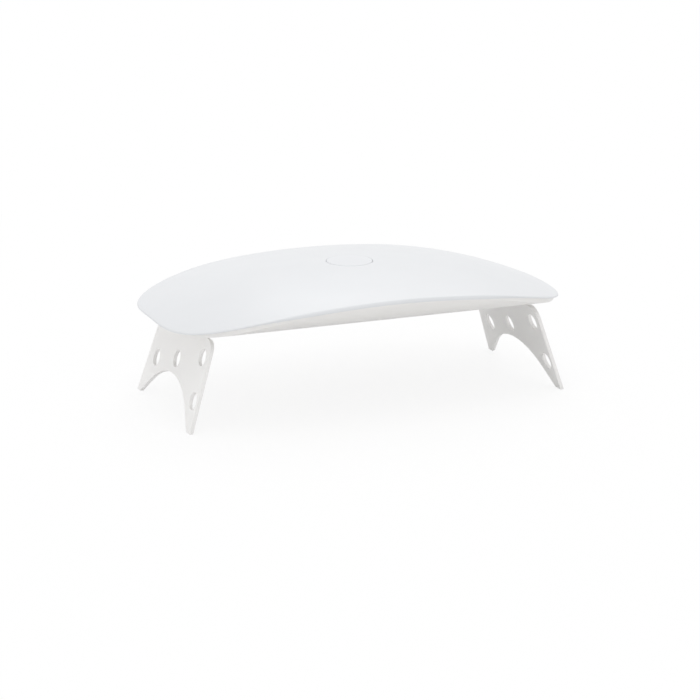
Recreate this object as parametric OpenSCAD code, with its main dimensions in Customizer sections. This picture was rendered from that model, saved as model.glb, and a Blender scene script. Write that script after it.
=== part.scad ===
// A small nail curing lamp: an arched housing like a flat pebble, which stands on two fold-out
// leg plates over the fingers. The lamps shine down through a clear window in the belly.
// +X runs along the housing, +Y to its back, +Z up. The origin is on the table under its middle.

/* [Housing] */
// Length of the cover along X
body_l = 132; // [130:1:134]
// Width of the cover along Y
body_w = 78; // [76:1:80]
// Height of the cover's crown above the table
crown_z = 42; // [41.9:0.05:42.3]
// Radius of the flatter middle of the cover, along X
crown_r = 270; // [265:1:275]
// Half length of that flatter middle
crown_half = 25; // [24:0.5:26]
// How far the cover falls from its crown to each end
end_drop = 11.7; // [11.5:0.1:11.8]
// How far the cover falls from its crown to each long side
side_drop = 4; // [3.8:0.1:4.1]
// Squareness of the plan outline: 2 is an ellipse, more is squarer
plan_power = 3.3; // [3:0.1:3.4]
// Wall of the cover
cover_t = 1.2; // [1.1:0.1:1.3]
// Thickness of the cover's rim, which lies on top of the belly's wall
rim_t = 0.5; // [0.4:0.1:0.6]
// How far the cover's lip stands out past the belly at both ends
lip_end = 1.6; // [1.4:0.1:1.8]
// The same step along the middle of both long sides
lip_side = 0.1; // [0.05:0.05:0.3]

/* [Belly] */
// Height of the flat underside above the table
belly_z = 29.5; // [29.3:0.1:29.6]
// Half width of the flat underside
belly_flat = 26; // [25.5:0.1:26.5]
// Radius from the underside into the sides
belly_r = 15.4; // [15.2:0.1:15.8]
// Wall of the belly
wall = 1.6; // [1.4:0.1:1.8]

/* [Legs] */
// Distance of the feet from the middle, along X
foot_x = 62.3; // [62:0.1:62.6]
// Slope of an opened leg from the vertical
splay = 17.9; // [17.5:0.1:18.2]
// Width of a leg plate across its feet
leg_w = 52.7; // [52:0.1:53]
// How much each long edge of a leg closes in, per millimetre up the plate
leg_flare = 0.1; // [0.05:0.01:0.1]
// Middle of the leg plates along Y
leg_mid = -1; // [-1.1:0.1:-0.9]
// Thickness of a leg plate
leg_t = 1.1; // [1:0.1:1.2]
// Radius of the arch between the two feet of a leg
arch_r = 26; // [25.5:0.1:26.2]
// Height of the arch, measured up the plate
arch_top = 12; // [11.8:0.1:12.2]
// Slope of the arch's straight flanks down to the feet
arch_slope = 42; // [40:0.5:43]
// Middle of the arch along Y, from the middle of the plate
arch_mid = 0.4; // [0.2:0.1:0.5]
// Diameter of the round holes in a leg plate
leg_hole_d = 5.4; // [5:0.1:5.6]
// Diameter of a hinge pin
pin_d = 1; // [0.9:0.1:1]

/* [Button] */
// Diameter of the round button in the crown
button_d = 14.6; // [14:0.1:15]
// How far the button stands proud of the cover
button_proud = 0.25; // [0.1:0.05:0.3]
// Travel of the button
button_travel = 0.5; // [0.3:0.05:0.5]

/* [Hidden] */
$fn = 48;

// Sheet of the cover: a flat arc with a tighter one at each end, swept along an arc across Y
arc_y = (pow(body_w / 2, 2) + pow(side_drop, 2)) / (2 * side_drop);
crown_turn = asin(crown_half / crown_r);
crown_way = [sin(crown_turn), cos(crown_turn)];
to_end = [body_l / 2, crown_r - end_drop];
end_part = to_end * crown_way;
end_r = (to_end * to_end + crown_r * crown_r - 2 * crown_r * end_part) / (2 * (crown_r - end_part));
sheet_fn = 360;
plan_points = 96;
tall = 60;

// Hinges of the legs
hinge_z = belly_z + 0.85;
hinge_x = foot_x - hinge_z * tan(splay);
leg_len = hinge_z / cos(splay);
barrel_r = 1.15;
groove_r = barrel_r + 0.2;
neck_w = 34;
pin_r = pin_d / 2;
pin_play = 0.04;
pin_len = neck_w + 5.2;
shoulder_u = 3.6;
shoulder_r = 4;
foot_r = 0.5;
fold_gap = 0.45;
arch_u = leg_len + arch_r - arch_top;
// Middle of each hole of a leg: distance from the foot along the plate, then along Y
leg_holes = [[12.7, 17.6], [16.8, 0.7], [22.4, -19], [9.2, -21.5]];

// Inside of the belly
recess_top = hinge_z + leg_t / 2 + 0.3;
cavity_x = 48;
cavity_y = 35.2;
mid_half = 19.2;
// Half sizes of the thicker middle of the cover, inside the belly's wall
rim_l = 60.4;
rim_w = 35.2;
rim_play = 0.15;
mid_floor = belly_z + 1.2;
end_floor = recess_top + 1;

// Window in the underside, between the folded legs
window_half = 8;
window_mid = 20;
window_rim = 2;
window_t = 0.8;

// Boards and what they carry
led_board_z = belly_z + 3.7;
led_board_size = [70, 22, 1];
led_x = 18;
led_y = 4.6;
led_size = [3.5, 3.5, 0.8];
lens_r = 1.5;
lens_h = 0.7;
board_z = belly_z + 5.5;
board_t = 1;
board_x = 22;
board_front = -16;
board_back = 34;
board_posts = [[8, -13.5], [-8, -13.5], [8, 28], [-8, 28]];
board_top = board_z + board_t;

// Screws: shank radius, head radius, head height
case_screw = [0.85, 1.7, 1];
board_screw = [0.7, 1.3, 0.7];
screw_play = 0.2;
led_screw_x = 32.9;
led_pilot = 1.4;
board_pilot = 3;
case_x = 15;
case_y = 28;
case_seat = belly_z + 1.7;
case_split = belly_z + 3.7;
case_pilot = 3;
boss_r = 2.4;
post_r = 1.8;

// Switch and button, heights above the table
switch_side = 6;
switch_top = board_top + 1.6;
switch_plate_t = 0.2;
plunger_r = 1.5;
plunger_top = switch_top + 0.7;
plunger_rim = 0.5;
button_r = button_d / 2;
button_play = 0.08;
flange_r = button_r + 1.2;
flange_low = plunger_top + 1.1;
flange_t = 0.7;
button_wall = 1.2;
stem_r = 2;

// Micro socket under the back edge of the control board
usb_w = 7.5;
usb_h = 2.5;
usb_len = 5.2;
usb_skin = 0.3;
usb_mouth = board_back + 0.6;

// Leads between the two boards
lead_r = 0.5;
lead_low_x = 14.5;
lead_high_x = 9.2;
lead_bend = 1;
lead_top = board_top + 1.4;
lead_y = 3.5;

function oval_point(a, b, t) =
    [a * sign(cos(t)) * pow(abs(cos(t)), 2 / plan_power),
     b * sign(sin(t)) * pow(abs(sin(t)), 2 / plan_power)];

// Upright block on the plan outline
module plan_block(half_l, half_w) {
    linear_extrude(tall)
        polygon([for (i = [0:plan_points - 1]) oval_point(half_l, half_w, 360 * i / plan_points)]);
}

// A point on the radius that both arcs of the profile share: along the axis, then out from it
function crown_point(side, reach) =
    [arc_y - crown_r + reach * crown_way[1], side * reach * crown_way[0]];

// Profile of the sheet, lowered by a depth: X is out from the sweep's axis, Y is along it
module sheet_profile(depth) {
    intersection() {
        translate([arc_y - crown_r, 0]) circle(r = crown_r - depth, $fn = sheet_fn);
        polygon([crown_point(1, 200), crown_point(1, 300), crown_point(-1, 300), crown_point(-1, 200)]);
    }
    // The end pieces reach in under the middle one
    for (side = [-1, 1]) intersection() {
        translate(crown_point(side, crown_r - end_r)) circle(r = end_r - depth, $fn = sheet_fn);
        polygon([[arc_y - 70, side * 10], [arc_y + 30, side * 10], [arc_y + 30, side * 90],
            [arc_y - 70, side * 90]]);
    }
}

// Everything up to the cover's outer skin, lowered by a depth measured square to the skin
module under_sheet(depth) {
    translate([0, 0, crown_z - arc_y])
        rotate([0, 90, 0])
            rotate_extrude($fn = sheet_fn) sheet_profile(depth);
}

// Cross profile of the belly, its wall inset by a depth
module belly_profile(depth) {
    translate([-belly_flat, belly_z + depth]) square([2 * belly_flat, tall / 2]);
    for (side = [-1, 1])
        translate([side * belly_flat, belly_z + belly_r]) circle(r = belly_r - depth, $fn = 120);
}

module along_x(length) {
    rotate([90, 0, 90]) translate([0, 0, -length / 2]) linear_extrude(length) children();
}

module belly_block() {
    difference() {
        intersection() {
            along_x(body_l) belly_profile(0);
            plan_block(body_l / 2 - lip_end, body_w / 2 - lip_side);
            under_sheet(rim_t);
        }
        // Room for the thicker middle of the cover
        difference() {
            plan_block(rim_l + rim_play, rim_w + rim_play);
            under_sheet(cover_t);
        }
    }
}

// Flat outline with round ends
module stadium(half_w, mid) {
    square([2 * mid, 2 * half_w], center = true);
    for (side = [-1, 1]) translate([side * mid, 0]) circle(r = half_w);
}

// Hollow of the belly: deeper in the middle, shallower over the folded legs
module belly_cavity() {
    intersection() {
        along_x(2 * cavity_x) belly_profile(wall);
        plan_block(cavity_x, cavity_y);
        union() {
            translate([-tall, -tall, end_floor]) cube([2 * tall, 2 * tall, tall]);
            translate([-mid_half, -tall, mid_floor]) cube([2 * mid_half, 2 * tall, tall]);
        }
    }
    translate([0, 0, mid_floor])
        linear_extrude(end_floor - mid_floor + 1) stadium(window_half + window_rim + 0.3, window_mid);
}

// The arch of a leg lying flat: a round top that runs into straight flanks
module arch(radius) {
    along = radius * sin(arch_slope);
    low = arch_u - radius * cos(arch_slope);
    reach = 20;
    translate([0, arch_mid]) {
        translate([arch_u, 0]) circle(r = radius, $fn = 120);
        polygon([[low, -along], [low + reach * sin(arch_slope), -along - reach * cos(arch_slope)],
            [low + reach * sin(arch_slope), along + reach * cos(arch_slope)], [low, along]]);
    }
}

// Half width of a leg at a distance from the hinge, for the plate or for the room round it
function leg_half(u, gap) = leg_w / 2 - (leg_len - u) * leg_flare + gap;

// Outline of a leg lying flat: X is the distance from the hinge to the foot, Y is across
module leg_outline(gap, length) {
    shoulder = shoulder_u + shoulder_r;
    middle = leg_half(shoulder, 0) - shoulder_r;
    difference() {
        union() {
            translate([0, -neck_w / 2 - gap]) square([shoulder_u + 1, neck_w + 2 * gap]);
            translate([shoulder_u - gap, -middle]) square([length - shoulder_u + gap, 2 * middle]);
            polygon([[shoulder, -leg_half(shoulder, gap)], [length, -leg_half(length, gap)],
                [length, leg_half(length, gap)], [shoulder, leg_half(shoulder, gap)]]);
            for (side = [-1, 1]) translate([shoulder, side * middle]) circle(r = shoulder_r + gap);
        }
        arch(arch_r - gap);
    }
}

// Waste outside the round of a foot's outer corner
module foot_corner() {
    difference() {
        translate([-foot_r, -foot_r]) square(foot_r + 2);
        translate([-foot_r, -foot_r]) circle(r = foot_r);
    }
}

// The left leg, opened: the plate hangs from its hinge and leans outwards
module leg() {
    difference() {
        translate([-hinge_x, leg_mid, hinge_z]) rotate([0, 90 + splay, 0]) {
            translate([0, 0, -leg_t / 2]) linear_extrude(leg_t) difference() {
                leg_outline(0, leg_len + 1);
                for (spot = leg_holes)
                    translate([leg_len - spot[0], spot[1]]) circle(d = leg_hole_d);
                for (side = [0, 1]) mirror([0, side])
                    translate([leg_len + 0.2, leg_half(leg_len, 0)]) foot_corner();
            }
            rotate([90, 0, 0]) cylinder(r = barrel_r, h = neck_w, center = true);
        }
        translate([-hinge_x, leg_mid, hinge_z]) rotate([90, 0, 0])
            cylinder(r = pin_r + pin_play, h = neck_w + 2, center = true);
        translate([-2 * body_l, -body_w, -tall]) cube([4 * body_l, 2 * body_w, tall]);
    }
}

// What a leg needs in the belly: the folded plate, the barrel and the way down to its rest
module leg_recess() {
    translate([-hinge_x, leg_mid, 0]) {
        translate([0, 0, belly_z - 5])
            linear_extrude(recess_top - belly_z + 5) leg_outline(fold_gap, leg_len + 0.7);
        translate([0, 0, hinge_z]) rotate([90, 0, 0])
            cylinder(r = groove_r, h = neck_w + 2 * fold_gap, center = true);
        translate([-groove_r, -neck_w / 2 - fold_gap, belly_z - 5])
            cube([2 * groove_r, neck_w + 2 * fold_gap, hinge_z - belly_z + 5]);
        translate([0, 0, hinge_z]) rotate([90, 0, 0]) cylinder(r = pin_r, h = pin_len, center = true);
    }
}

module hinge_pin() {
    translate([-hinge_x, leg_mid, hinge_z]) rotate([90, 0, 0])
        cylinder(r = pin_r, h = pin_len, center = true);
}

module at_case_screws() {
    for (x = [-case_x, case_x], y = [-case_y, case_y]) translate([x, y, 0]) children();
}

module at_board_posts() {
    for (spot = board_posts) translate([spot[0], spot[1], 0]) children();
}

// A screw whose head rests on z = 0, above it, with its shank below
module screw(kind, length) {
    translate([0, 0, -length]) cylinder(r = kind[0], h = length);
    difference() {
        cylinder(r = kind[1], h = kind[2]);
        translate([0, 0, kind[2] * 0.5]) for (turn = [0, 90]) rotate(turn)
            translate([-kind[1] * 0.6, -kind[0] * 0.2, 0]) cube([kind[1] * 1.2, kind[0] * 0.4, kind[2]]);
    }
}

module top_cover() {
    skirt_l = cavity_x - 0.3;
    skirt_w = cavity_y - 1.7;
    skirt_t = 1.1;
    color("white") difference() {
        union() {
            intersection() {
                difference() {
                    under_sheet(0);
                    under_sheet(rim_t);
                }
                plan_block(body_l / 2, body_w / 2);
            }
            intersection() {
                difference() {
                    under_sheet(rim_t / 2);
                    under_sheet(cover_t);
                }
                plan_block(rim_l, rim_w);
            }
            // Locating skirt inside the belly's wall
            difference() {
                intersection() {
                    plan_block(skirt_l, skirt_w);
                    difference() {
                        under_sheet(cover_t / 2);
                        under_sheet(cover_t + 1);
                    }
                }
                plan_block(skirt_l - skirt_t, skirt_w - skirt_t);
            }
            // Screw bosses
            intersection() {
                at_case_screws() translate([0, 0, case_split]) cylinder(r = boss_r, h = tall);
                under_sheet(cover_t / 2);
            }
        }
        cylinder(r = button_r + button_play, h = tall);
        at_case_screws() translate([0, 0, case_split - 1]) cylinder(r = case_screw[0], h = case_pilot + 1);
    }
}

module base_shell() {
    color("whitesmoke") difference() {
        union() {
            difference() {
                belly_block();
                belly_cavity();
            }
            translate([0, 0, belly_z + 1]) {
                at_case_screws() cylinder(r = boss_r, h = case_split - belly_z - 1);
                at_board_posts() cylinder(r = post_r, h = board_z - belly_z - 1);
            }
            for (side = [-1, 1]) translate([side * led_screw_x, 0, recess_top + 0.5])
                cylinder(r = post_r, h = led_board_z - recess_top - 0.5);
        }
        leg_recess();
        mirror([1, 0, 0]) leg_recess();
        translate([0, 0, belly_z - 1]) linear_extrude(3) stadium(window_half + 0.05, window_mid);
        // Case screws: counterbore from below, then a clearance hole
        at_case_screws() {
            cylinder(r = case_screw[1] + screw_play, h = case_seat);
            cylinder(r = case_screw[0] + screw_play, h = tall);
        }
        at_board_posts() translate([0, 0, board_z - board_pilot]) cylinder(r = board_screw[0], h = tall);
        for (side = [-1, 1]) translate([side * led_screw_x, 0, led_board_z - led_pilot])
            cylinder(r = board_screw[0], h = tall);
        // Way in to the socket through the back wall
        translate([-usb_w / 2 - 0.5, board_back - 4, board_z - usb_h - 0.4])
            cube([usb_w + 1, 12, usb_h + 0.8]);
    }
}

// A cap that follows the cover's crown, with a flange that holds it in and a stem on the switch
module timer_button() {
    color("ghostwhite") {
        difference() {
            intersection() {
                translate([0, 0, flange_low]) cylinder(r = button_r, h = tall);
                under_sheet(-button_proud);
            }
            intersection() {
                translate([0, 0, flange_low - 1]) cylinder(r = button_r - button_wall, h = tall);
                under_sheet(button_wall);
            }
        }
        difference() {
            translate([0, 0, flange_low]) cylinder(r = flange_r, h = flange_t);
            translate([0, 0, flange_low - 1]) cylinder(r = button_r - button_wall, h = flange_t + 2);
        }
        translate([0, 0, plunger_top]) cylinder(r = stem_r, h = crown_z - button_wall / 2 - plunger_top);
    }
}

module switch_housing() {
    color("dimgray") difference() {
        translate([-switch_side / 2, -switch_side / 2, board_top])
            cube([switch_side, switch_side, switch_top - board_top]);
        translate([0, 0, board_top + 0.3]) cylinder(r = 2.4, h = 4);
    }
}

module switch_cover() {
    color("silver") difference() {
        translate([-switch_side / 2, -switch_side / 2, switch_top])
            cube([switch_side, switch_side, switch_plate_t]);
        cylinder(r = plunger_r + 0.06, h = tall);
    }
}

module switch_plunger() {
    color("black") {
        translate([0, 0, switch_top - plunger_rim]) {
            cylinder(r = 2.1, h = plunger_rim);
            cylinder(r = plunger_r, h = plunger_top - switch_top + plunger_rim);
        }
    }
}

module control_board() {
    color("seagreen") difference() {
        translate([-board_x / 2, board_front, board_z]) cube([board_x, board_back - board_front, board_t]);
        at_board_posts() cylinder(r = board_screw[0] + screw_play, h = tall);
    }
}

// Small chip: a moulded body with a row of bent leads on both sides
module chip(size, leads, pitch) {
    translate([-size[0] / 2, -size[1] / 2, 0.1]) cube([size[0], size[1], size[2] - 0.1]);
    for (i = [0:leads - 1], side = [-1, 1]) translate([(i - (leads - 1) / 2) * pitch, 0, 0]) {
        translate([-0.2, side > 0 ? size[1] / 2 : -size[1] / 2 - 1, 0]) cube([0.4, 1, 0.2]);
        translate([-0.2, side > 0 ? size[1] / 2 : -size[1] / 2 - 0.3, 0]) cube([0.4, 0.3, size[2] / 2]);
    }
}

module controller_chip() {
    color("black") translate([0, 15, board_top]) chip([4.9, 3.9, 1.5], 4, 1.27);
}

module lamp_transistor() {
    color("black") translate([-6, 13, board_top]) chip([2.9, 1.4, 1.1], 2, 1.9);
}

module chip_resistors() {
    color("black") for (y = [11, 14, 17]) translate([5, y - 0.8, board_top]) cube([3.2, 1.6, 0.6]);
}

module chip_capacitors() {
    color("tan") for (x = [-5, 5]) translate([x - 1.6, 22.2, board_top]) cube([3.2, 1.6, 1.4]);
}

// Mouth of the micro socket, seen from behind: its lower corners are cut off
module usb_outline(skin) {
    low = usb_h - skin;
    half = usb_w / 2 - skin;
    polygon([[-half, -skin], [half, -skin], [half, -low + 1.1], [half - 1.1, -low],
        [-half + 1.1, -low], [-half, -low + 1.1]]);
}

module usb_shell() {
    color("silver") translate([0, usb_mouth, board_z]) rotate([90, 0, 0]) difference() {
        linear_extrude(usb_len) usb_outline(0);
        translate([0, 0, -1]) linear_extrude(usb_len + 0.6) usb_outline(usb_skin);
    }
}

module usb_tongue() {
    color("black") translate([-1.8, usb_mouth - usb_len + 0.4, board_z - usb_skin - 1])
        cube([3.6, 3.8, 0.6]);
}

module led_board() {
    color("gainsboro") difference() {
        translate([-led_board_size[0] / 2, -led_board_size[1] / 2, led_board_z]) cube(led_board_size);
        for (side = [-1, 1]) translate([side * led_screw_x, 0, 0])
            cylinder(r = board_screw[0] + screw_play, h = tall);
    }
}

module at_leds() {
    for (i = [-1:1], y = [-led_y, led_y]) translate([i * led_x, y, led_board_z]) children();
}

module uv_leds() {
    color("khaki") at_leds()
        translate([-led_size[0] / 2, -led_size[1] / 2, -led_size[2]]) cube(led_size);
}

module led_lenses() {
    color("lavender") at_leds() intersection() {
        translate([0, 0, -led_size[2] - lens_h + lens_r]) sphere(r = lens_r);
        translate([0, 0, -led_size[2] - lens_r]) cylinder(r = lens_r, h = lens_r);
    }
}

module led_window() {
    color("aliceblue") {
        translate([0, 0, belly_z + 0.1]) linear_extrude(1.2 + window_t - 0.1) stadium(window_half, window_mid);
        translate([0, 0, mid_floor]) linear_extrude(window_t) stadium(window_half + window_rim, window_mid);
    }
}

// A quarter turn of wire from +Z round to +X, starting at the origin
module lead_quarter() {
    translate([lead_bend, 0, 0]) rotate([90, 0, 0]) rotate([0, 0, 90])
        rotate_extrude(angle = 90) translate([lead_bend, 0]) circle(r = lead_r, $fn = 24);
}

// A wire from the lamp board up over the edge of the control board
module lead() {
    rise = lead_top - lead_bend - led_board_z - led_board_size[2];
    translate([lead_low_x, 0, led_board_z + led_board_size[2]]) {
        cylinder(r = lead_r, h = rise, $fn = 24);
        translate([0, 0, rise]) mirror([1, 0, 0]) lead_quarter();
    }
    translate([lead_high_x + lead_bend, 0, lead_top]) rotate([0, 90, 0])
        cylinder(r = lead_r, h = lead_low_x - lead_high_x - 2 * lead_bend, $fn = 24);
    translate([lead_high_x, 0, lead_top - lead_bend]) lead_quarter();
    translate([lead_high_x, 0, board_top])
        cylinder(r = lead_r, h = lead_top - lead_bend - board_top, $fn = 24);
}

module positive_lead() {
    color("red") translate([0, lead_y, 0]) lead();
}

module negative_lead() {
    color("black") translate([0, -lead_y, 0]) lead();
}

module case_screws() {
    color("silver") at_case_screws()
        translate([0, 0, case_seat]) mirror([0, 0, 1])
            screw(case_screw, case_split - case_seat + case_pilot - 0.3);
}

module board_screws() {
    color("silver") at_board_posts()
        translate([0, 0, board_top]) screw(board_screw, board_t + board_pilot - 0.2);
}

module led_board_screws() {
    color("silver") for (side = [-1, 1])
        translate([side * led_screw_x, 0, led_board_z + led_board_size[2]])
            screw(board_screw, led_board_size[2] + led_pilot - 0.2);
}

module left_hinge_pin() {
    color("silver") hinge_pin();
}

module right_hinge_pin() {
    color("silver") mirror([1, 0, 0]) hinge_pin();
}

module left_leg() {
    color("whitesmoke") leg();
}

module right_leg() {
    color("whitesmoke") mirror([1, 0, 0]) leg();
}

top_cover();
base_shell();
timer_button();
switch_housing();
switch_cover();
switch_plunger();
control_board();
controller_chip();
lamp_transistor();
chip_resistors();
chip_capacitors();
usb_shell();
usb_tongue();
led_board();
uv_leds();
led_lenses();
led_window();
positive_lead();
negative_lead();
case_screws();
board_screws();
led_board_screws();
left_hinge_pin();
right_hinge_pin();
left_leg();
right_leg();
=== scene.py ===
# %% [markdown]
# # A small nail lamp on folding legs
# The lamp is an arched white housing that stands on two leg plates over the finger tips. Its
# construction is already solid and to size, so this lesson only dresses it: smooth moulded
# shells, small radii on the edges, and a finish for every surface. The first step loads the
# solids, and a small helper reads the box round any one of them.

# %% Load the frame
import math

import bmesh
import bpy
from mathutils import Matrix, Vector


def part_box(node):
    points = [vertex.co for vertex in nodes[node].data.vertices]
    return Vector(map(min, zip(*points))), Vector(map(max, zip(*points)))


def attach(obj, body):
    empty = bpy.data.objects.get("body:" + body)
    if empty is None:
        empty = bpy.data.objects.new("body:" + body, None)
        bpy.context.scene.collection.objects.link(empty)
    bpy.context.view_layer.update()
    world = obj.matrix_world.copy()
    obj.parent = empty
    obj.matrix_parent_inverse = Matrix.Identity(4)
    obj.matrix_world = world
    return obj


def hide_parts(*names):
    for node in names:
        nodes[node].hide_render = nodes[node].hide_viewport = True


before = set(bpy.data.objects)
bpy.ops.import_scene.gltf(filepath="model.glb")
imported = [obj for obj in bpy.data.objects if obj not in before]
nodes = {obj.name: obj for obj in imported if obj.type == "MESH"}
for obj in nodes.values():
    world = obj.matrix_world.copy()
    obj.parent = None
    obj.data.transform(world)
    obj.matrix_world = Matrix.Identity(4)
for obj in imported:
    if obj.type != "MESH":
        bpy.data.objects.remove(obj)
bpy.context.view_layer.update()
MM = 0.001

# %% [markdown]
# ## The camera
# The photograph was taken from a little above and to the left, with a long lens. We place the
# camera by its bearing round the lamp, its height above the horizon and its distance. The
# lens is a focal length in pixels turned into Blender's millimetres for a 36 mm wide sensor.

# %% Place the camera
PHOTO_PX = 700
FOCAL_PX = 2205
SENSOR_MM = 36
BEARING = math.radians(-22.38)
HEIGHT = math.radians(15.62)
DISTANCE = 705.6 * MM
AIM = Vector((1.40, 2.90, 11.73)) * MM
NEAREST = 0.01
FARTHEST = 20

camera = bpy.data.objects.new("camera", bpy.data.cameras.new("camera"))
bpy.context.scene.collection.objects.link(camera)
back = Vector((math.sin(BEARING) * math.cos(HEIGHT), -math.cos(BEARING) * math.cos(HEIGHT),
               math.sin(HEIGHT)))
camera.location = AIM + back * DISTANCE
camera.rotation_euler = (math.pi / 2 - HEIGHT, 0, BEARING)
camera.data.sensor_width = SENSOR_MM
camera.data.lens = FOCAL_PX * SENSOR_MM / PHOTO_PX
camera.data.clip_start = NEAREST
camera.data.clip_end = FARTHEST
bpy.context.scene.camera = camera
bpy.context.scene.view_settings.view_transform = "Standard"
print("lens", round(camera.data.lens, 1), "mm")

# %% [markdown]
# ## Small helpers for materials
# Every finish starts from one Principled shader. The first helper makes the material and sets
# the plain numbers on the shader's own sockets, where an exporter can read them. The second
# lays patterns on Object coordinates, in metres. We could unwrap every part instead, but this
# way a pattern keeps its real size on each part and needs no seams.

# %% Material helper
def principled(name, colour, roughness, metallic=0.0, **numbers):
    """A new material, its node tree and its Principled shader with plain values set."""
    material = bpy.data.materials.new(name)
    material.use_nodes = True
    tree = material.node_tree
    shader = tree.nodes["Principled BSDF"]
    shader.inputs["Base Color"].default_value = (*colour, 1)
    shader.inputs["Roughness"].default_value = roughness
    shader.inputs["Metallic"].default_value = metallic
    for socket, value in numbers.items():
        shader.inputs[socket.replace("_", " ")].default_value = value
    return material, tree, shader


def object_coordinates(tree, stretch=(1, 1, 1)):
    """Object coordinates through a Mapping node, so that a pattern can be stretched."""
    place = tree.nodes.new("ShaderNodeTexCoord")
    mapping = tree.nodes.new("ShaderNodeMapping")
    mapping.inputs["Scale"].default_value = stretch
    tree.links.new(place.outputs["Object"], mapping.inputs["Vector"])
    return mapping.outputs["Vector"]

# %% [markdown]
# ## Patterns
# Real surfaces vary softly and never repeat, so the patterns are noise. A noise rarely leaves
# its middle range, and we stretch that range onto the two values that we want. A picture could
# do the same, but noise stays sharp at every distance. Where a pattern is a relief, it lifts
# the skin through a Bump node with its real depth.

# %% Pattern helpers
NOISE_LOW = 0.35
NOISE_HIGH = 0.65
# A Mix node has sockets for every kind of data. These are its two colours and its result.
FIRST_COLOUR, SECOND_COLOUR, MIXED_COLOUR = 6, 7, 2


def feed(tree, socket, value):
    """Set a socket to a plain value, or link it to another socket."""
    if isinstance(value, bpy.types.NodeSocket):
        tree.links.new(value, socket)
    else:
        socket.default_value = value


def noise(tree, vector, scale, detail=2.0, roughness=0.5):
    """A noise with a scale that is a number or a socket."""
    node = tree.nodes.new("ShaderNodeTexNoise")
    feed(tree, node.inputs["Scale"], scale)
    node.inputs["Detail"].default_value = detail
    node.inputs["Roughness"].default_value = roughness
    tree.links.new(vector, node.inputs["Vector"])
    return node.outputs["Fac"]


def spread(tree, value, low, high):
    """Map a noise's middle range onto low to high."""
    node = tree.nodes.new("ShaderNodeMapRange")
    node.inputs["From Min"].default_value = NOISE_LOW
    node.inputs["From Max"].default_value = NOISE_HIGH
    feed(tree, node.inputs["To Min"], low)
    feed(tree, node.inputs["To Max"], high)
    tree.links.new(value, node.inputs["Value"])
    return node.outputs["Result"]


def mixed_colour(tree, amount, first, second):
    """Mix two colours, each of which is a tuple of red, green and blue or a socket."""
    node = tree.nodes.new("ShaderNodeMix")
    node.data_type = "RGBA"
    tree.links.new(amount, node.inputs["Factor"])
    for socket, colour in ((FIRST_COLOUR, first), (SECOND_COLOUR, second)):
        feed(tree, node.inputs[socket], (*colour, 1) if isinstance(colour, tuple) else colour)
    return node.outputs[MIXED_COLOUR]


def raised(tree, shader, height, depth, strength=1.0):
    """Let a pattern lift the skin by a depth in millimetres."""
    bump = tree.nodes.new("ShaderNodeBump")
    bump.inputs["Distance"].default_value = depth * MM
    bump.inputs["Strength"].default_value = strength
    tree.links.new(height, bump.inputs["Height"])
    tree.links.new(bump.outputs["Normal"], shader.inputs["Normal"])

# %% [markdown]
# ## Moulded plastic
# Moulded ABS isn't perfectly even: the tool leaves a fine spark texture, the gloss drifts
# slowly over a large face, and handled faces collect faint soft smudges. One node group gives
# all white parts those three effects, each part with its own amounts. It puts out a colour, a
# roughness and a height, and the shader stays outside in the material.

# %% Node group: moulded skin
DRIFT_PER_METRE = 22
SMUDGES_PER_METRE = 95


def new_group(name, inputs, outputs):
    """An empty shader node group with named sockets."""
    group = bpy.data.node_groups.new(name, "ShaderNodeTree")
    for label, kind, value in inputs:
        socket = group.interface.new_socket(label, in_out="INPUT", socket_type=kind)
        if value is not None:
            socket.default_value = value
    for label, kind in outputs:
        group.interface.new_socket(label, in_out="OUTPUT", socket_type=kind)
    return group, group.nodes.new("NodeGroupInput"), group.nodes.new("NodeGroupOutput")


def moulded_skin_group():
    """Slow colour drift, smudges in the gloss and a fine grain, each with its own inputs."""
    group, given, result = new_group("moulded_skin", [
        ("Vector", "NodeSocketVector", None),
        ("Colour", "NodeSocketColor", (0.8, 0.8, 0.8, 1)),
        ("Drift", "NodeSocketColor", (0.78, 0.78, 0.79, 1)),
        ("Gloss low", "NodeSocketFloat", 0.3),
        ("Gloss high", "NodeSocketFloat", 0.4),
        ("Grain per metre", "NodeSocketFloat", 5000),
    ], [
        ("Colour", "NodeSocketColor"),
        ("Roughness", "NodeSocketFloat"),
        ("Height", "NodeSocketFloat"),
    ])
    vector = given.outputs["Vector"]
    drift = spread(group, noise(group, vector, DRIFT_PER_METRE, detail=3), 0.0, 1.0)
    colour = mixed_colour(group, drift, given.outputs["Colour"], given.outputs["Drift"])
    smudge = noise(group, vector, SMUDGES_PER_METRE, detail=4, roughness=0.6)
    gloss = spread(group, smudge, given.outputs["Gloss low"], given.outputs["Gloss high"])
    grain = noise(group, vector, given.outputs["Grain per metre"])
    group.links.new(colour, result.inputs["Colour"])
    group.links.new(gloss, result.inputs["Roughness"])
    group.links.new(grain, result.inputs["Height"])
    return group


MOULDED_SKIN = moulded_skin_group()
print(MOULDED_SKIN.name, "has", len(MOULDED_SKIN.nodes), "nodes")

# %% [markdown]
# ## Moulded finishes
# The cover and the button have the smoothest skin, the belly is duller, and the legs are dull
# and slightly grained. Their whites also differ in brightness, and that is painted light and
# shade: the cover's and the button's white is darker to offset the strong light from above,
# and the belly's and the legs' white is lighter, standing in for light that they get too little
# of. The cover's white is a little bluer and the others a little creamier. The dark and cream
# mouldings inside use the same group, with more drift.

# %% Moulded finishes
SKIN_STRENGTH = 0.5


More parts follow.
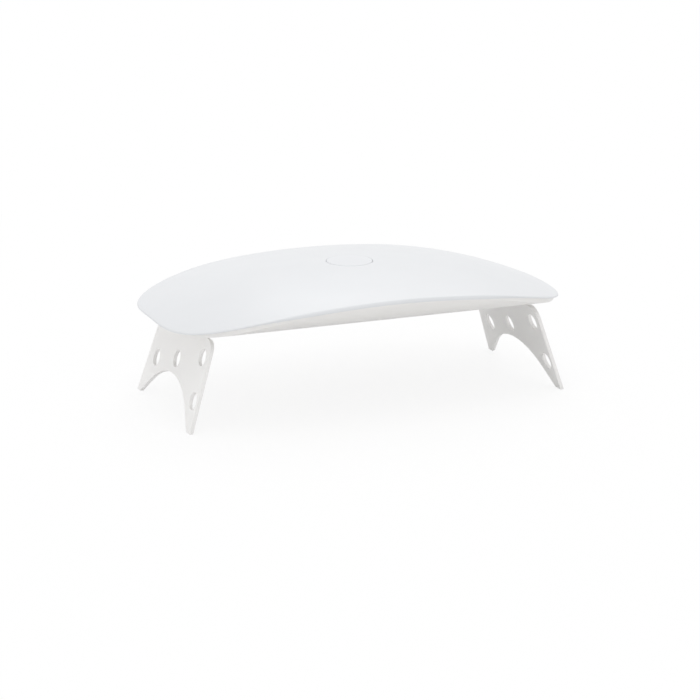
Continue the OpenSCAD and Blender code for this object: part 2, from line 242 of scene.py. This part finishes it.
def moulded(name, colour, drift, gloss, grain=5200.0, depth=0.006):
    """Moulded plastic with a fine spark texture, its depth in millimetres."""
    material, tree, shader = principled(name, colour, sum(gloss) / 2)
    skin = tree.nodes.new("ShaderNodeGroup")
    skin.node_tree = MOULDED_SKIN
    skin.inputs["Colour"].default_value = (*colour, 1)
    skin.inputs["Drift"].default_value = (*drift, 1)
    skin.inputs["Gloss low"].default_value, skin.inputs["Gloss high"].default_value = gloss
    skin.inputs["Grain per metre"].default_value = grain
    tree.links.new(object_coordinates(tree), skin.inputs["Vector"])
    tree.links.new(skin.outputs["Colour"], shader.inputs["Base Color"])
    tree.links.new(skin.outputs["Roughness"], shader.inputs["Roughness"])
    raised(tree, shader, skin.outputs["Height"], depth, SKIN_STRENGTH)
    return material


# Painted shade and light: the cover's and button's whites are darker, the belly's and legs'
# lighter, to even out how the light falls on them.
COVER_WHITE_PAINTED_SHADE = moulded("cover_white_painted_shade", (0.73, 0.742, 0.76), (0.715, 0.727, 0.745),
                      (0.31, 0.37), depth=0.003)
BUTTON_WHITE_PAINTED_SHADE = moulded("button_white_painted_shade", (0.73, 0.742, 0.763), (0.715, 0.727, 0.748),
                       (0.29, 0.34), depth=0.003)
BELLY_WHITE_PAINTED_LIGHT = moulded("belly_white_painted_light", (0.835, 0.825, 0.81), (0.82, 0.81, 0.795), (0.36, 0.44))
LEG_WHITE_PAINTED_LIGHT = moulded("leg_white_painted_light", (0.88, 0.872, 0.86), (0.86, 0.852, 0.84),
                    (0.42, 0.52), grain=3600.0, depth=0.01)
BLACK_MOULDED = moulded("black_moulded", (0.02, 0.02, 0.022), (0.03, 0.03, 0.03), (0.4, 0.55))
CREAM_MOULDED = moulded("cream_moulded", (0.75, 0.72, 0.55), (0.7, 0.67, 0.52), (0.35, 0.5))
print("moulded finishes:", MOULDED_SKIN.users)

# %% [markdown]
# ## Metals
# The screws are turned, and the pins, the switch's plate and the socket are drawn or stamped
# steel. All show fine lines from the tool. The lines are noise, squeezed hard across them and
# hardly along them. An anisotropic shader could turn the reflections instead, but lines in the
# roughness come through an export too.

# %% Brushed metals
LINES_ACROSS = 9000.0
LINES_ALONG = 250.0
LINE_DEPTH = 0.003
LINE_STRENGTH = 0.4


def brushed(name, colour, along, roughness=(0.22, 0.38)):
    """Drawn or stamped steel: fine lines along one axis."""
    material, tree, shader = principled(name, colour, sum(roughness) / 2, metallic=1.0)
    squeeze = [LINES_ACROSS] * 3
    squeeze["XYZ".index(along)] = LINES_ALONG
    lines = noise(tree, object_coordinates(tree, stretch=squeeze), 1.0, detail=3)
    tree.links.new(spread(tree, lines, *roughness), shader.inputs["Roughness"])
    raised(tree, shader, lines, LINE_DEPTH, LINE_STRENGTH)
    return material


SCREW_STEEL = brushed("screw_steel", (0.62, 0.62, 0.61), "X")
PIN_STEEL = brushed("pin_steel", (0.68, 0.68, 0.68), "Y", (0.16, 0.28))
STAMPED_STEEL = brushed("stamped_steel", (0.7, 0.7, 0.69), "X", (0.2, 0.34))
SOCKET_STEEL = brushed("socket_steel", (0.72, 0.72, 0.7), "Y", (0.18, 0.3))
print("metals:", sorted(m.name for m in bpy.data.materials if "steel" in m.name))

# %% [markdown]
# ## Circuit boards
# A board carries copper bands under a thin lacquer. It is green round the controller, and white
# behind the lamps, where it throws the light down. We could model every band, but at this
# size a brick pattern is enough: its joints are straight, meet at right angles, and show as
# slightly raised and lighter lines.

# %% Boards
BANDS_PER_METRE = 520
BAND_WIDTH = 0.09
BAND_HEIGHT = 0.03
CLOUD_SCALE = 0.4
LACQUER_SMOOTHER = 0.05
LACQUER_ROUGHER = 0.08


def board(name, lacquer, copper, roughness):
    """Lacquered board: straight copper bands show through as a lighter, raised pattern."""
    material, tree, shader = principled(name, lacquer, roughness)
    vector = object_coordinates(tree, stretch=(BANDS_PER_METRE, BANDS_PER_METRE, 1))
    bricks = tree.nodes.new("ShaderNodeTexBrick")
    bricks.inputs["Scale"].default_value = 1
    bricks.inputs["Mortar Size"].default_value = BAND_WIDTH
    for label, level in (("Color1", 0), ("Color2", 0), ("Mortar", 1)):
        bricks.inputs[label].default_value = (level, level, level, 1)
    tree.links.new(vector, bricks.inputs["Vector"])
    bands = bricks.outputs["Fac"]
    tree.links.new(mixed_colour(tree, bands, lacquer, copper), shader.inputs["Base Color"])
    gloss = spread(tree, noise(tree, vector, CLOUD_SCALE),
                   roughness - LACQUER_SMOOTHER, roughness + LACQUER_ROUGHER)
    tree.links.new(gloss, shader.inputs["Roughness"])
    raised(tree, shader, bands, BAND_HEIGHT)
    return material


GREEN_BOARD = board("green_board", (0.015, 0.11, 0.04), (0.05, 0.22, 0.08), 0.3)
WHITE_BOARD = board("white_board", (0.78, 0.78, 0.76), (0.7, 0.7, 0.68), 0.35)
print("boards:", GREEN_BOARD.name, WHITE_BOARD.name)

# %% [markdown]
# ## Clear plastic
# The window and the lens domes are clear mouldings. The light has to pass, so they are glass
# to the renderer, with the refraction of acrylic and of silicone. A slow waviness in the skin
# keeps their reflections from looking cut from a sheet.

# %% Clear plastic
WAVES_PER_METRE = 180
WAVE_HEIGHT = 0.02
WAVE_STRENGTH = 0.3


def clear(name, tint, roughness, ior):
    """A clear moulding with a slow waviness in its skin."""
    material, tree, shader = principled(name, tint, roughness, IOR=ior, Transmission_Weight=1.0)
    waves = noise(tree, object_coordinates(tree), WAVES_PER_METRE)
    raised(tree, shader, waves, WAVE_HEIGHT, WAVE_STRENGTH)
    return material


WINDOW_CLEAR = clear("window_clear", (0.94, 0.95, 0.98), 0.04, 1.49)
LENS_CLEAR = clear("lens_clear", (0.93, 0.93, 0.99), 0.08, 1.41)
print("clear:", WINDOW_CLEAR.name, LENS_CLEAR.name)

# %% [markdown]
# ## Small parts
# Resistors and capacitors are fired ceramic, and the two leads have a drawn insulation. They
# are a millimetre or so across, so two close tones in fine speckles give all the variation that
# an eye can find there.

# %% Small parts
SPECK_SMOOTHER = 0.06
SPECK_ROUGHER = 0.1


def speckled(name, colour, other, roughness, scale):
    """A small fired or coated part: two tones in fine speckles."""
    material, tree, shader = principled(name, colour, roughness)
    speck = noise(tree, object_coordinates(tree), scale, detail=3)
    tone = mixed_colour(tree, spread(tree, speck, 0.0, 1.0), colour, other)
    tree.links.new(tone, shader.inputs["Base Color"])
    gloss = spread(tree, speck, roughness - SPECK_SMOOTHER, roughness + SPECK_ROUGHER)
    tree.links.new(gloss, shader.inputs["Roughness"])
    return material


CERAMIC = speckled("capacitor_ceramic", (0.42, 0.28, 0.15), (0.5, 0.36, 0.22), 0.4, 6000)
GLAZE = speckled("resistor_glaze", (0.02, 0.02, 0.022), (0.05, 0.05, 0.055), 0.25, 8000)
RED_WIRE = speckled("red_insulation", (0.5, 0.015, 0.012), (0.42, 0.012, 0.01), 0.45, 3000)
BLACK_WIRE = speckled("black_insulation", (0.015,) * 3, (0.03,) * 3, 0.45, 3000)
print("materials so far:", len(bpy.data.materials))

# %% [markdown]
# ## Finishes on the solids that stay
# Most inner solids already have their final shape. They only need a finish, which we assign
# by the name of the solid. The shells, the button and the legs get theirs here as well, so
# that the hidden solid and the piece that stands for it agree.

# %% Give the staying solids their finish
FINISH = {
    "switch_housing": BLACK_MOULDED, "switch_plunger": BLACK_MOULDED,
    "controller_chip": BLACK_MOULDED, "lamp_transistor": BLACK_MOULDED,
    "usb_tongue": BLACK_MOULDED, "uv_leds": CREAM_MOULDED,
    "switch_cover": STAMPED_STEEL, "usb_shell": SOCKET_STEEL,
    "case_screws": SCREW_STEEL, "board_screws": SCREW_STEEL, "led_board_screws": SCREW_STEEL,
    "left_hinge_pin": PIN_STEEL, "right_hinge_pin": PIN_STEEL,
    "control_board": GREEN_BOARD, "led_board": WHITE_BOARD,
    "chip_resistors": GLAZE, "chip_capacitors": CERAMIC,
    "positive_lead": RED_WIRE, "negative_lead": BLACK_WIRE,
    "led_lenses": LENS_CLEAR, "led_window": WINDOW_CLEAR,
    "top_cover": COVER_WHITE_PAINTED_SHADE, "base_shell": BELLY_WHITE_PAINTED_LIGHT, "timer_button": BUTTON_WHITE_PAINTED_SHADE,
    "left_leg": LEG_WHITE_PAINTED_LIGHT, "right_leg": LEG_WHITE_PAINTED_LIGHT,
}
for name, material in FINISH.items():
    mesh = nodes[name].data
    mesh.materials.clear()
    mesh.materials.append(material)
print("finished solids:", len(FINISH), "of", len(nodes))

# %% [markdown]
# ## The cover's sheet
# The cover is one sheet, curved both ways, that dips to both ends. Its upper skin is an arc
# swept along another arc, so the height of any point follows from a few radii. We could bend a
# grid by eye, but with the true radii the skin lies exactly where the solid's does. Seen from
# above, the sheet is an oval with squared-off corners.

# %% Sizes of the sheet, from the solid
cover_low, cover_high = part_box("top_cover")
HALF_L = cover_high.x
HALF_W = cover_high.y
CROWN = 42.0 * MM
CROWN_R = 270.0 * MM
CROWN_HALF = 25.0 * MM
END_DROP = 11.7 * MM
SIDE_DROP = 4.0 * MM
COVER_T = 1.2 * MM
PLAN_POWER = 3.3
ARC_Y = (HALF_W ** 2 + SIDE_DROP ** 2) / (2 * SIDE_DROP)
CROWN_TURN = math.asin(CROWN_HALF / CROWN_R)
to_end = Vector((HALF_L, CROWN_R - END_DROP))
end_part = to_end.dot(Vector((math.sin(CROWN_TURN), math.cos(CROWN_TURN))))
END_R = ((to_end.length_squared + CROWN_R ** 2 - 2 * CROWN_R * end_part)
         / (2 * (CROWN_R - end_part)))
print("cover", round(2 * HALF_L / MM, 1), "by", round(2 * HALF_W / MM, 1), "mm")
print("arcs: middle", CROWN_R, "ends", round(END_R, 4), "across", round(ARC_Y, 4), "m")


def sheet_point(x, y, depth=0.0):
    """Point over (x, y) on the sheet, or on the skin at a depth that is measured square to it."""
    if abs(x) < (CROWN_R - depth) * math.sin(CROWN_TURN):
        reach = ARC_Y - CROWN_R + math.sqrt((CROWN_R - depth) ** 2 - x ** 2)
    else:
        offset = (CROWN_R - END_R) * math.sin(CROWN_TURN)
        reach = (ARC_Y - CROWN_R + (CROWN_R - END_R) * math.cos(CROWN_TURN)
                 + math.sqrt((END_R - depth) ** 2 - (abs(x) - offset) ** 2))
    return Vector((x, y, CROWN - ARC_Y + math.sqrt(reach ** 2 - y ** 2)))


def oval_reach(turn, half_l, half_w):
    """Distance from the middle to a squared-off oval, in the direction of a turn."""
    parts = abs(math.cos(turn) / half_l) ** PLAN_POWER + abs(math.sin(turn) / half_w) ** PLAN_POWER
    return parts ** (-1 / PLAN_POWER)


def over(turn, reach, depth):
    """Point of the cover on a spoke, at a distance from the middle and a depth under the skin."""
    return sheet_point(reach * math.cos(turn), reach * math.sin(turn), depth)

# %% [markdown]
# ## One ring, drawn out again and again
# A grid would be cut through by the round hole and the oval rim. Instead we start a ring at the
# hole and extrude it outwards, ring after ring, until it has become the rim. The same extrusion
# then rolls over the rim and returns underneath, so that the wall and its small radii are part
# of one closed skin. The button and the screw bosses are made by the same helper.

# %% Ring loft helper
def loft(bm, segments, sections):
    """Extrude one ring through the sections. A section is a function from the turn to a point.
    The ring starts as a circle, and every further ring is an extrusion of the last one."""
    ring = bmesh.ops.create_circle(bm, cap_ends=False, segments=segments, radius=1.0)["verts"]
    turns = [math.atan2(v.co.y, v.co.x) for v in ring]
    edges = list(dict.fromkeys(e for v in ring for e in v.link_edges))
    rings = [ring]
    for v, turn in zip(ring, turns):
        v.co = sections[0](turn)
    for section in sections[1:]:
        made = bmesh.ops.extrude_edge_only(bm, edges=edges)["geom"]
        fresh = [g for g in made if isinstance(g, bmesh.types.BMVert)]
        edges = [g for g in made if isinstance(g, bmesh.types.BMEdge)
                 and all(v in fresh for v in g.verts)]
        linked = {}
        for v in fresh:
            old = next(e.other_vert(v) for e in v.link_edges if e.other_vert(v) not in fresh)
            linked[old] = v
        ring = [linked[old] for old in rings[-1]]
        for v, turn in zip(ring, turns):
            v.co = section(turn)
        rings.append(ring)
    return rings


def close_ends(bm, rings):
    """Put a face into the first and the last ring."""
    for ring in (rings[0], rings[-1]):
        bmesh.ops.contextual_create(bm, geom=ring)

# %% [markdown]
# ## From mesh to piece
# Every mesh that we make ends in the same way. Doubled points are merged, the faces are turned
# outwards, curved faces shade smoothly and real edges stay crisp. An extrusion leaves its faces
# in no fixed order, so we sort them by their points, and every run gives them in the same one.
# Then the piece rides on its body, takes its slot's name, and stands for its solid, which stays
# hidden for the collisions.

# %% Hand a mesh over
DOUBLES = 0.002 * MM
POINT_LIMIT = 1e6


def finish_mesh(bm, name, material, body, replaced, sharp=35.0):
    """Close doubles, point the faces outwards and hand the mesh over as one piece."""
    bmesh.ops.remove_doubles(bm, verts=bm.verts[:], dist=DOUBLES)
    bmesh.ops.recalc_face_normals(bm, faces=bm.faces[:])
    bm.verts.index_update()
    bm.faces.sort(key=lambda f: POINT_LIMIT * f.verts[0].index + f.verts[1].index)
    bm.edges.sort(key=lambda e: (POINT_LIMIT * min(v.index for v in e.verts)
                                 + max(v.index for v in e.verts)))
    mesh = bpy.data.meshes.new(name)
    bm.to_mesh(mesh)
    bm.free()
    mesh.shade_smooth()
    mesh.set_sharp_from_angle(angle=math.radians(sharp))
    piece = bpy.data.objects.new(name, mesh)
    bpy.context.scene.collection.objects.link(piece)
    mesh.materials.append(material)
    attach(piece, body)
    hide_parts(replaced)
    print(name, len(mesh.vertices), "points", len(mesh.polygons), "faces")
    return piece

# %% [markdown]
# ## The rim
# Towards the ends the rim is a thin free lip that stands out past the belly. Along the middle
# of the sides it is thicker, with a large soft round, and lies almost flush on the belly. One
# value, how far the rim is a lip, blends all its measures from one state to the other. A bevel
# would have one width all the way round, so we roll the section ourselves.

# %% Rim
RIM_T = 0.5 * MM
SIDE_RIM_T = 1.1 * MM
UPPER_ROUND = 0.34 * MM
SIDE_UPPER_ROUND = 0.85 * MM
LOWER_ROUND = 0.14 * MM
SIDE_LOWER_ROUND = 0.2 * MM
LIP_FROM = 26 * MM
LIP_TO = 46 * MM
CORNER_STEPS = 6
quarter = [math.pi / 2 * i / CORNER_STEPS for i in range(CORNER_STEPS + 1)]
print("rim", round(SIDE_RIM_T / MM, 2), "mm at the sides,", round(RIM_T / MM, 2), "mm at the ends")


def lip(turn):
    """How far the rim is a free lip: 0 along the middle of the sides, 1 towards the ends."""
    along = abs(math.cos(turn)) * oval_reach(turn, HALF_L, HALF_W)
    share = min(max((along - LIP_FROM) / (LIP_TO - LIP_FROM), 0), 1)
    return share * share * (3 - 2 * share)


def blend_values(at_side, at_end, share):
    return at_side + (at_end - at_side) * share


def rounding(radius, angle):
    """(inset, drop) on a quarter round, from flat on the face at 0 to upright at a right angle."""
    return radius * (1 - math.sin(angle)), radius * (1 - math.cos(angle))


def rim_corner(turn, angle, lower):
    """(inset, depth) on the rim's upper or lower rounding, at an angle round it."""
    share = lip(turn)
    if lower:
        inset, drop = rounding(blend_values(SIDE_LOWER_ROUND, LOWER_ROUND, share), angle)
        return inset, blend_values(SIDE_RIM_T, RIM_T, share) - drop
    return rounding(blend_values(SIDE_UPPER_ROUND, UPPER_ROUND, share), angle)


def rim_section(angle, lower):
    """Ring round the rim, at an angle on its upper or lower rounding."""
    def section(turn):
        inset, depth = rim_corner(turn, angle, lower)
        return over(turn, oval_reach(turn, HALF_L, HALF_W) - inset, depth)
    return section


def oval_section(half_l, half_w, depth):
    """Ring on an oval at a depth. Where the depth is None, it is the underside of the rim."""
    def section(turn):
        low = blend_values(SIDE_RIM_T, RIM_T, lip(turn)) if depth is None else depth
        return over(turn, oval_reach(turn, half_l, half_w), low)
    return section

# %% [markdown]
# ## The cover's skin
# From the hole's rounded edge the rings run out over the top, roll round the rim, step up to
# the inner wall and return to the hole. On the way they form a low skirt, which drops inside
# the belly's wall and centres the cover on it. The last ring lies on the first and closes the
# skin, so the wall is solid and nothing has to be joined.

# %% Rings of the cover
RING = 256
HOLE_R = 7.38 * MM
HOLE_ROUND = 0.2 * MM
TOP_RINGS = 40
UNDER_RIM_L = 3 * MM
UNDER_RIM_W = 2 * MM
INNER_L = 60.4 * MM
INNER_W = 35.2 * MM
INNER_STEPS = (3, 6, 9)
INNER_CLOSING = 0.14
SKIRT_L = 47.7 * MM
SKIRT_W = 33.5 * MM
SKIRT_T = 1.1 * MM
SKIRT_DROP = 1.0 * MM
CEILING_SHARES = (0.85, 0.7, 0.55, 0.42, 0.3)


def hole_section(angle):
    """Ring on the rounded edge of the button's hole."""
    inset, drop = rounding(HOLE_ROUND, angle)
    return lambda turn: over(turn, HOLE_R + inset, drop)


def top_section(blend):
    """Ring between the hole's edge and the rim's rounding."""
    def section(turn):
        start = HOLE_R + HOLE_ROUND
        end = oval_reach(turn, HALF_L, HALF_W) - rim_corner(turn, 0, False)[0]
        return over(turn, start + (end - start) * blend, 0)
    return section


top = [hole_section(a) for a in reversed(quarter)]
top += [top_section(i / TOP_RINGS) for i in range(1, TOP_RINGS)]
rim = [rim_section(a, False) for a in quarter] + [rim_section(a, True) for a in reversed(quarter)]
rim.append(oval_section(HALF_L - UNDER_RIM_L, HALF_W - UNDER_RIM_W, None))
rim.append(oval_section(INNER_L, INNER_W, None))
ceiling = [oval_section(INNER_L, INNER_W, COVER_T)]
ceiling += [oval_section(INNER_L - i * MM, INNER_W - i * INNER_CLOSING * MM, COVER_T)
            for i in INNER_STEPS]
for inset, drop in ((0, 0), (0, SKIRT_DROP), (SKIRT_T, SKIRT_DROP), (SKIRT_T, 0)):
    ceiling.append(oval_section(SKIRT_L - inset, SKIRT_W - inset, COVER_T + drop))
ceiling += [oval_section(SKIRT_L * share, SKIRT_W * share, COVER_T) for share in CEILING_SHARES]
ceiling.append(lambda turn: over(turn, HOLE_R, COVER_T))

cover_mesh = bmesh.new()
loft(cover_mesh, RING, top + rim + ceiling + [top[0]])
print("cover skin:", len(cover_mesh.faces), "faces")

# %% [markdown]
# ## Screw bosses
# Four screws come up through the belly and hold the cover. Each bites into a boss under the
# cover: a short post with a blind hole and a small chamfer at its foot. It is a turned shape,
# so its rings have one centre, and its upper end sits inside the wall, where it doesn't show.

# %% Screw bosses under the cover
CASE_X = 15 * MM
CASE_Y = 28 * MM
BOSS_R = 2.4 * MM
BOSS_CHAMFER = 0.2 * MM
BOSS_RING = 32
PILOT_R = 0.85 * MM
PILOT_DEPTH = 3 * MM
SPLIT_Z = 33.2 * MM
POLE_R = 0.02 * MM


def level_ring(radius, height, x=0.0, y=0.0):
    """A round, level ring about a point."""
    return lambda turn: Vector((x + radius * math.cos(turn), y + radius * math.sin(turn), height))


def boss(bm, x, y):
    """A round boss with a blind hole for the screw; its top end sits inside the wall."""
    top = sheet_point(x, y, COVER_T / 2).z
    hole_top = SPLIT_Z + PILOT_DEPTH
    profile = ((POLE_R, top), (BOSS_R, top), (BOSS_R, SPLIT_Z + BOSS_CHAMFER),
               (BOSS_R - BOSS_CHAMFER, SPLIT_Z), (PILOT_R, SPLIT_Z), (PILOT_R, hole_top),
               (POLE_R, hole_top))
    close_ends(bm, loft(bm, BOSS_RING, [level_ring(r, z, x, y) for r, z in profile]))


for x in (-CASE_X, CASE_X):
    for y in (-CASE_Y, CASE_Y):
        boss(cover_mesh, x, y)
finish_mesh(cover_mesh, "cover_shell", COVER_WHITE_PAINTED_SHADE, "housing", "top_cover", sharp=50)

# %% [markdown]
# ## The button
# The button is a small round cap whose face continues the cover's curve, almost flush with it.
# A thin dark line shows round it, because both edges are rounded. We build it in the same way,
# ring by ring, with the face taken from the sheet. The stem underneath narrows at its end, so
# that it can press the switch without touching the metal plate round the plunger.

# %% Make the button
button_low, button_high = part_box("timer_button")
BUTTON_R = 7.3 * MM
BUTTON_RING = 96
BUTTON_ROUND = 0.3 * MM
PROUD = 0.08 * MM
FACE_STEPS = 12
CAP_T = 1.2 * MM
FLANGE_R = button_high.x
FLANGE_LOW = button_low.z + 1.1 * MM
FLANGE_HIGH = FLANGE_LOW + 0.7 * MM
STEM_R = 2.0 * MM
STEM_END_R = 1.45 * MM
STEM_TAPER = 0.3 * MM


def on_face(radius, depth):
    """Ring on the cap's face, or on a skin under it."""
    return lambda turn: over(turn, radius, depth - PROUD)


inner_r = BUTTON_R - CAP_T
face = [on_face(POLE_R + (BUTTON_R - BUTTON_ROUND) * i / FACE_STEPS, 0) for i in range(FACE_STEPS)]
for inset, drop in (rounding(BUTTON_ROUND, a) for a in quarter):
    face.append(on_face(BUTTON_R - inset, drop))
flange = [level_ring(BUTTON_R, FLANGE_HIGH), level_ring(FLANGE_R, FLANGE_HIGH),
          level_ring(FLANGE_R, FLANGE_LOW), level_ring(inner_r, FLANGE_LOW)]
hollow = [on_face(inner_r, PROUD + CAP_T), on_face(STEM_R, PROUD + CAP_T)]
stem = [level_ring(STEM_R, button_low.z + STEM_TAPER), level_ring(STEM_END_R, button_low.z),
        level_ring(POLE_R, button_low.z)]

button_mesh = bmesh.new()
close_ends(button_mesh, loft(button_mesh, BUTTON_RING, face + flange + hollow + stem))
finish_mesh(button_mesh, "button_cap", BUTTON_WHITE_PAINTED_SHADE, "button", "timer_button")

# %% [markdown]
# ## The belly and the legs
# These keep the outline of their solids to the last hole, so there is no point in drawing them
# again. We take a copy of the solid, merge its loose triangles, dissolve the flat ones into
# whole faces, and bevel the sharp edges, because no moulded edge is knife sharp. The large
# faces then set the shading of the small ones, so that flat plates look flat.

# %% Softened copies of solids
SOLID_DOUBLES = 0.001 * MM
FLAT = math.radians(0.4)
LEG_ROUND = 0.2 * MM
BELLY_ROUND = 0.12 * MM
LARGE_FACES_FIRST = 100


def softened(node, name, material, body, width, sharp=30.0):
    """A copy of a solid with its sharp edges rounded, which replaces the solid."""
    bm = bmesh.new()
    bm.from_mesh(nodes[node].data)
    bmesh.ops.remove_doubles(bm, verts=bm.verts[:], dist=SOLID_DOUBLES)
    bmesh.ops.dissolve_limit(bm, angle_limit=FLAT, verts=bm.verts[:], edges=bm.edges[:])
    edges = [e for e in bm.edges if e.is_manifold and e.calc_face_angle(0) > math.radians(sharp)]
    bmesh.ops.bevel(bm, geom=edges, offset=width, affect="EDGES", segments=3, profile=0.5,
                    material=-1, clamp_overlap=True)
    piece = finish_mesh(bm, name, material, body, node, sharp=40)
    even = piece.modifiers.new("even faces", "WEIGHTED_NORMAL")
    even.mode = "FACE_AREA"
    even.weight = LARGE_FACES_FIRST
    even.keep_sharp = True


for side in ("left", "right"):
    softened(f"{side}_leg", f"{side}_leg_plate", LEG_WHITE_PAINTED_LIGHT, f"leg_{side}", LEG_ROUND)
softened("base_shell", "belly_shell", BELLY_WHITE_PAINTED_LIGHT, "housing", BELLY_ROUND)

# %% [markdown]
# ## The table
# The lamp stands on a plain white table. Close by, it is a matt white that takes the lamp's
# shadow. Further out it fades to pure white, so that no horizon shows. A backdrop could hide
# the horizon too, but it would only fit one camera. The fade is a glow of strength 1 that
# Light Path mixes in for the camera alone, so it throws no light on the lamp.

# %% Table
TABLE_R = 3.0
TABLE_SIDES = 64
table_bm = bmesh.new()
bmesh.ops.create_circle(table_bm, cap_ends=True, segments=TABLE_SIDES, radius=TABLE_R)
table_mesh = bpy.data.meshes.new("table")
table_bm.to_mesh(table_mesh)
table_bm.free()
table = bpy.data.objects.new("table", table_mesh)
bpy.context.scene.collection.objects.link(table)
print("table", 2 * TABLE_R, "m across")

# %% Table white
TABLE_SHADE = 0.92
TABLE_ROUGHNESS = 0.9
PICTURE_SHARE = 0.85
FADE_FROM = 0.09
FADE_TO = 0.30
material, tree, shader = principled("table_white", (TABLE_SHADE,) * 3, TABLE_ROUGHNESS)
place = tree.nodes.new("ShaderNodeTexCoord")
reach = tree.nodes.new("ShaderNodeVectorMath")
reach.operation = "LENGTH"
tree.links.new(place.outputs["Object"], reach.inputs[0])
fade = tree.nodes.new("ShaderNodeMapRange")
fade.interpolation_type = "SMOOTHSTEP"
fade.inputs["From Min"].default_value = FADE_FROM
fade.inputs["From Max"].default_value = FADE_TO
fade.inputs["To Min"].default_value = PICTURE_SHARE
tree.links.new(reach.outputs["Value"], fade.inputs["Value"])
rays = tree.nodes.new("ShaderNodeLightPath")
seen = tree.nodes.new("ShaderNodeMath")
seen.operation = "MULTIPLY"
tree.links.new(rays.outputs["Is Camera Ray"], seen.inputs[0])
tree.links.new(fade.outputs["Result"], seen.inputs[1])
glow = tree.nodes.new("ShaderNodeEmission")
mix = tree.nodes.new("ShaderNodeMixShader")
tree.links.new(seen.outputs["Value"], mix.inputs["Fac"])
tree.links.new(shader.outputs["BSDF"], mix.inputs[1])
tree.links.new(glow.outputs["Emission"], mix.inputs[2])
tree.links.new(mix.outputs["Shader"], tree.nodes["Material Output"].inputs["Surface"])
table_mesh.materials.append(material)
print("table fades to white from", FADE_FROM, "to", FADE_TO, "m")

# %% [markdown]
# ## The room
# A white room lights the lamp from all sides, and that is the world's plain light here. The
# camera, and rays that metal reflects or glass lets through, see it as pure white. We could
# brighten the room until it looks white, but then the white lamp would clip. Light Path
# separates what is seen from what gives light.

# %% World
PURE_WHITE = (1, 1, 1, 1)
WORLD_LEVEL = 0.79
world = bpy.data.worlds.new("studio")
world.use_nodes = True
bpy.context.scene.world = world
tree = world.node_tree
room = tree.nodes["Background"]
room.inputs["Color"].default_value = PURE_WHITE
room.inputs["Strength"].default_value = WORLD_LEVEL
white = tree.nodes.new("ShaderNodeBackground")
white.inputs["Color"].default_value = PURE_WHITE
rays = tree.nodes.new("ShaderNodeLightPath")
mix = tree.nodes.new("ShaderNodeMixShader")
seen = rays.outputs["Is Camera Ray"]
for label in ("Is Glossy Ray", "Is Transmission Ray"):
    either = tree.nodes.new("ShaderNodeMath")
    either.operation = "MAXIMUM"
    tree.links.new(seen, either.inputs[0])
    tree.links.new(rays.outputs[label], either.inputs[1])
    seen = either.outputs["Value"]
tree.links.new(seen, mix.inputs["Fac"])
tree.links.new(room.outputs["Background"], mix.inputs[1])
tree.links.new(white.outputs["Background"], mix.inputs[2])
tree.links.new(mix.outputs["Shader"], tree.nodes["World Output"].inputs["Surface"])
print("room level", room.inputs["Strength"].default_value)

# %% [markdown]
# ## Soft boxes
# Two soft boxes above and behind give the cover its even light. Two weak low ones lift the
# belly and the legs, which get the rest of their light back from the table. Each is an area
# light that looks at the lamp. Its size sets how soft the shadow is, and its watts set how
# strong.

# %% Soft boxes
def soft_box(name, place, size, watts, colour=(1, 1, 1)):
    """An area light at a place in metres, turned to the middle of the table."""
    light = bpy.data.lights.new(name, "AREA")
    light.size = size
    light.energy = watts
    light.color = colour
    lamp = bpy.data.objects.new(name, light)
    bpy.context.scene.collection.objects.link(lamp)
    lamp.location = place
    lamp.rotation_euler = (-Vector(place)).to_track_quat("-Z", "Y").to_euler()


soft_box("box_above", (-0.1, -0.1, 0.9), 0.6, 1.8)
soft_box("box_left", (-1.0, -0.1, 0.1), 0.4, 0.7, (0.96, 0.975, 1.0))
soft_box("box_front", (0.5, -0.95, 0.2), 0.4, 0.4)
soft_box("box_back", (0.3, 0.5, 0.75), 0.6, 1.2)
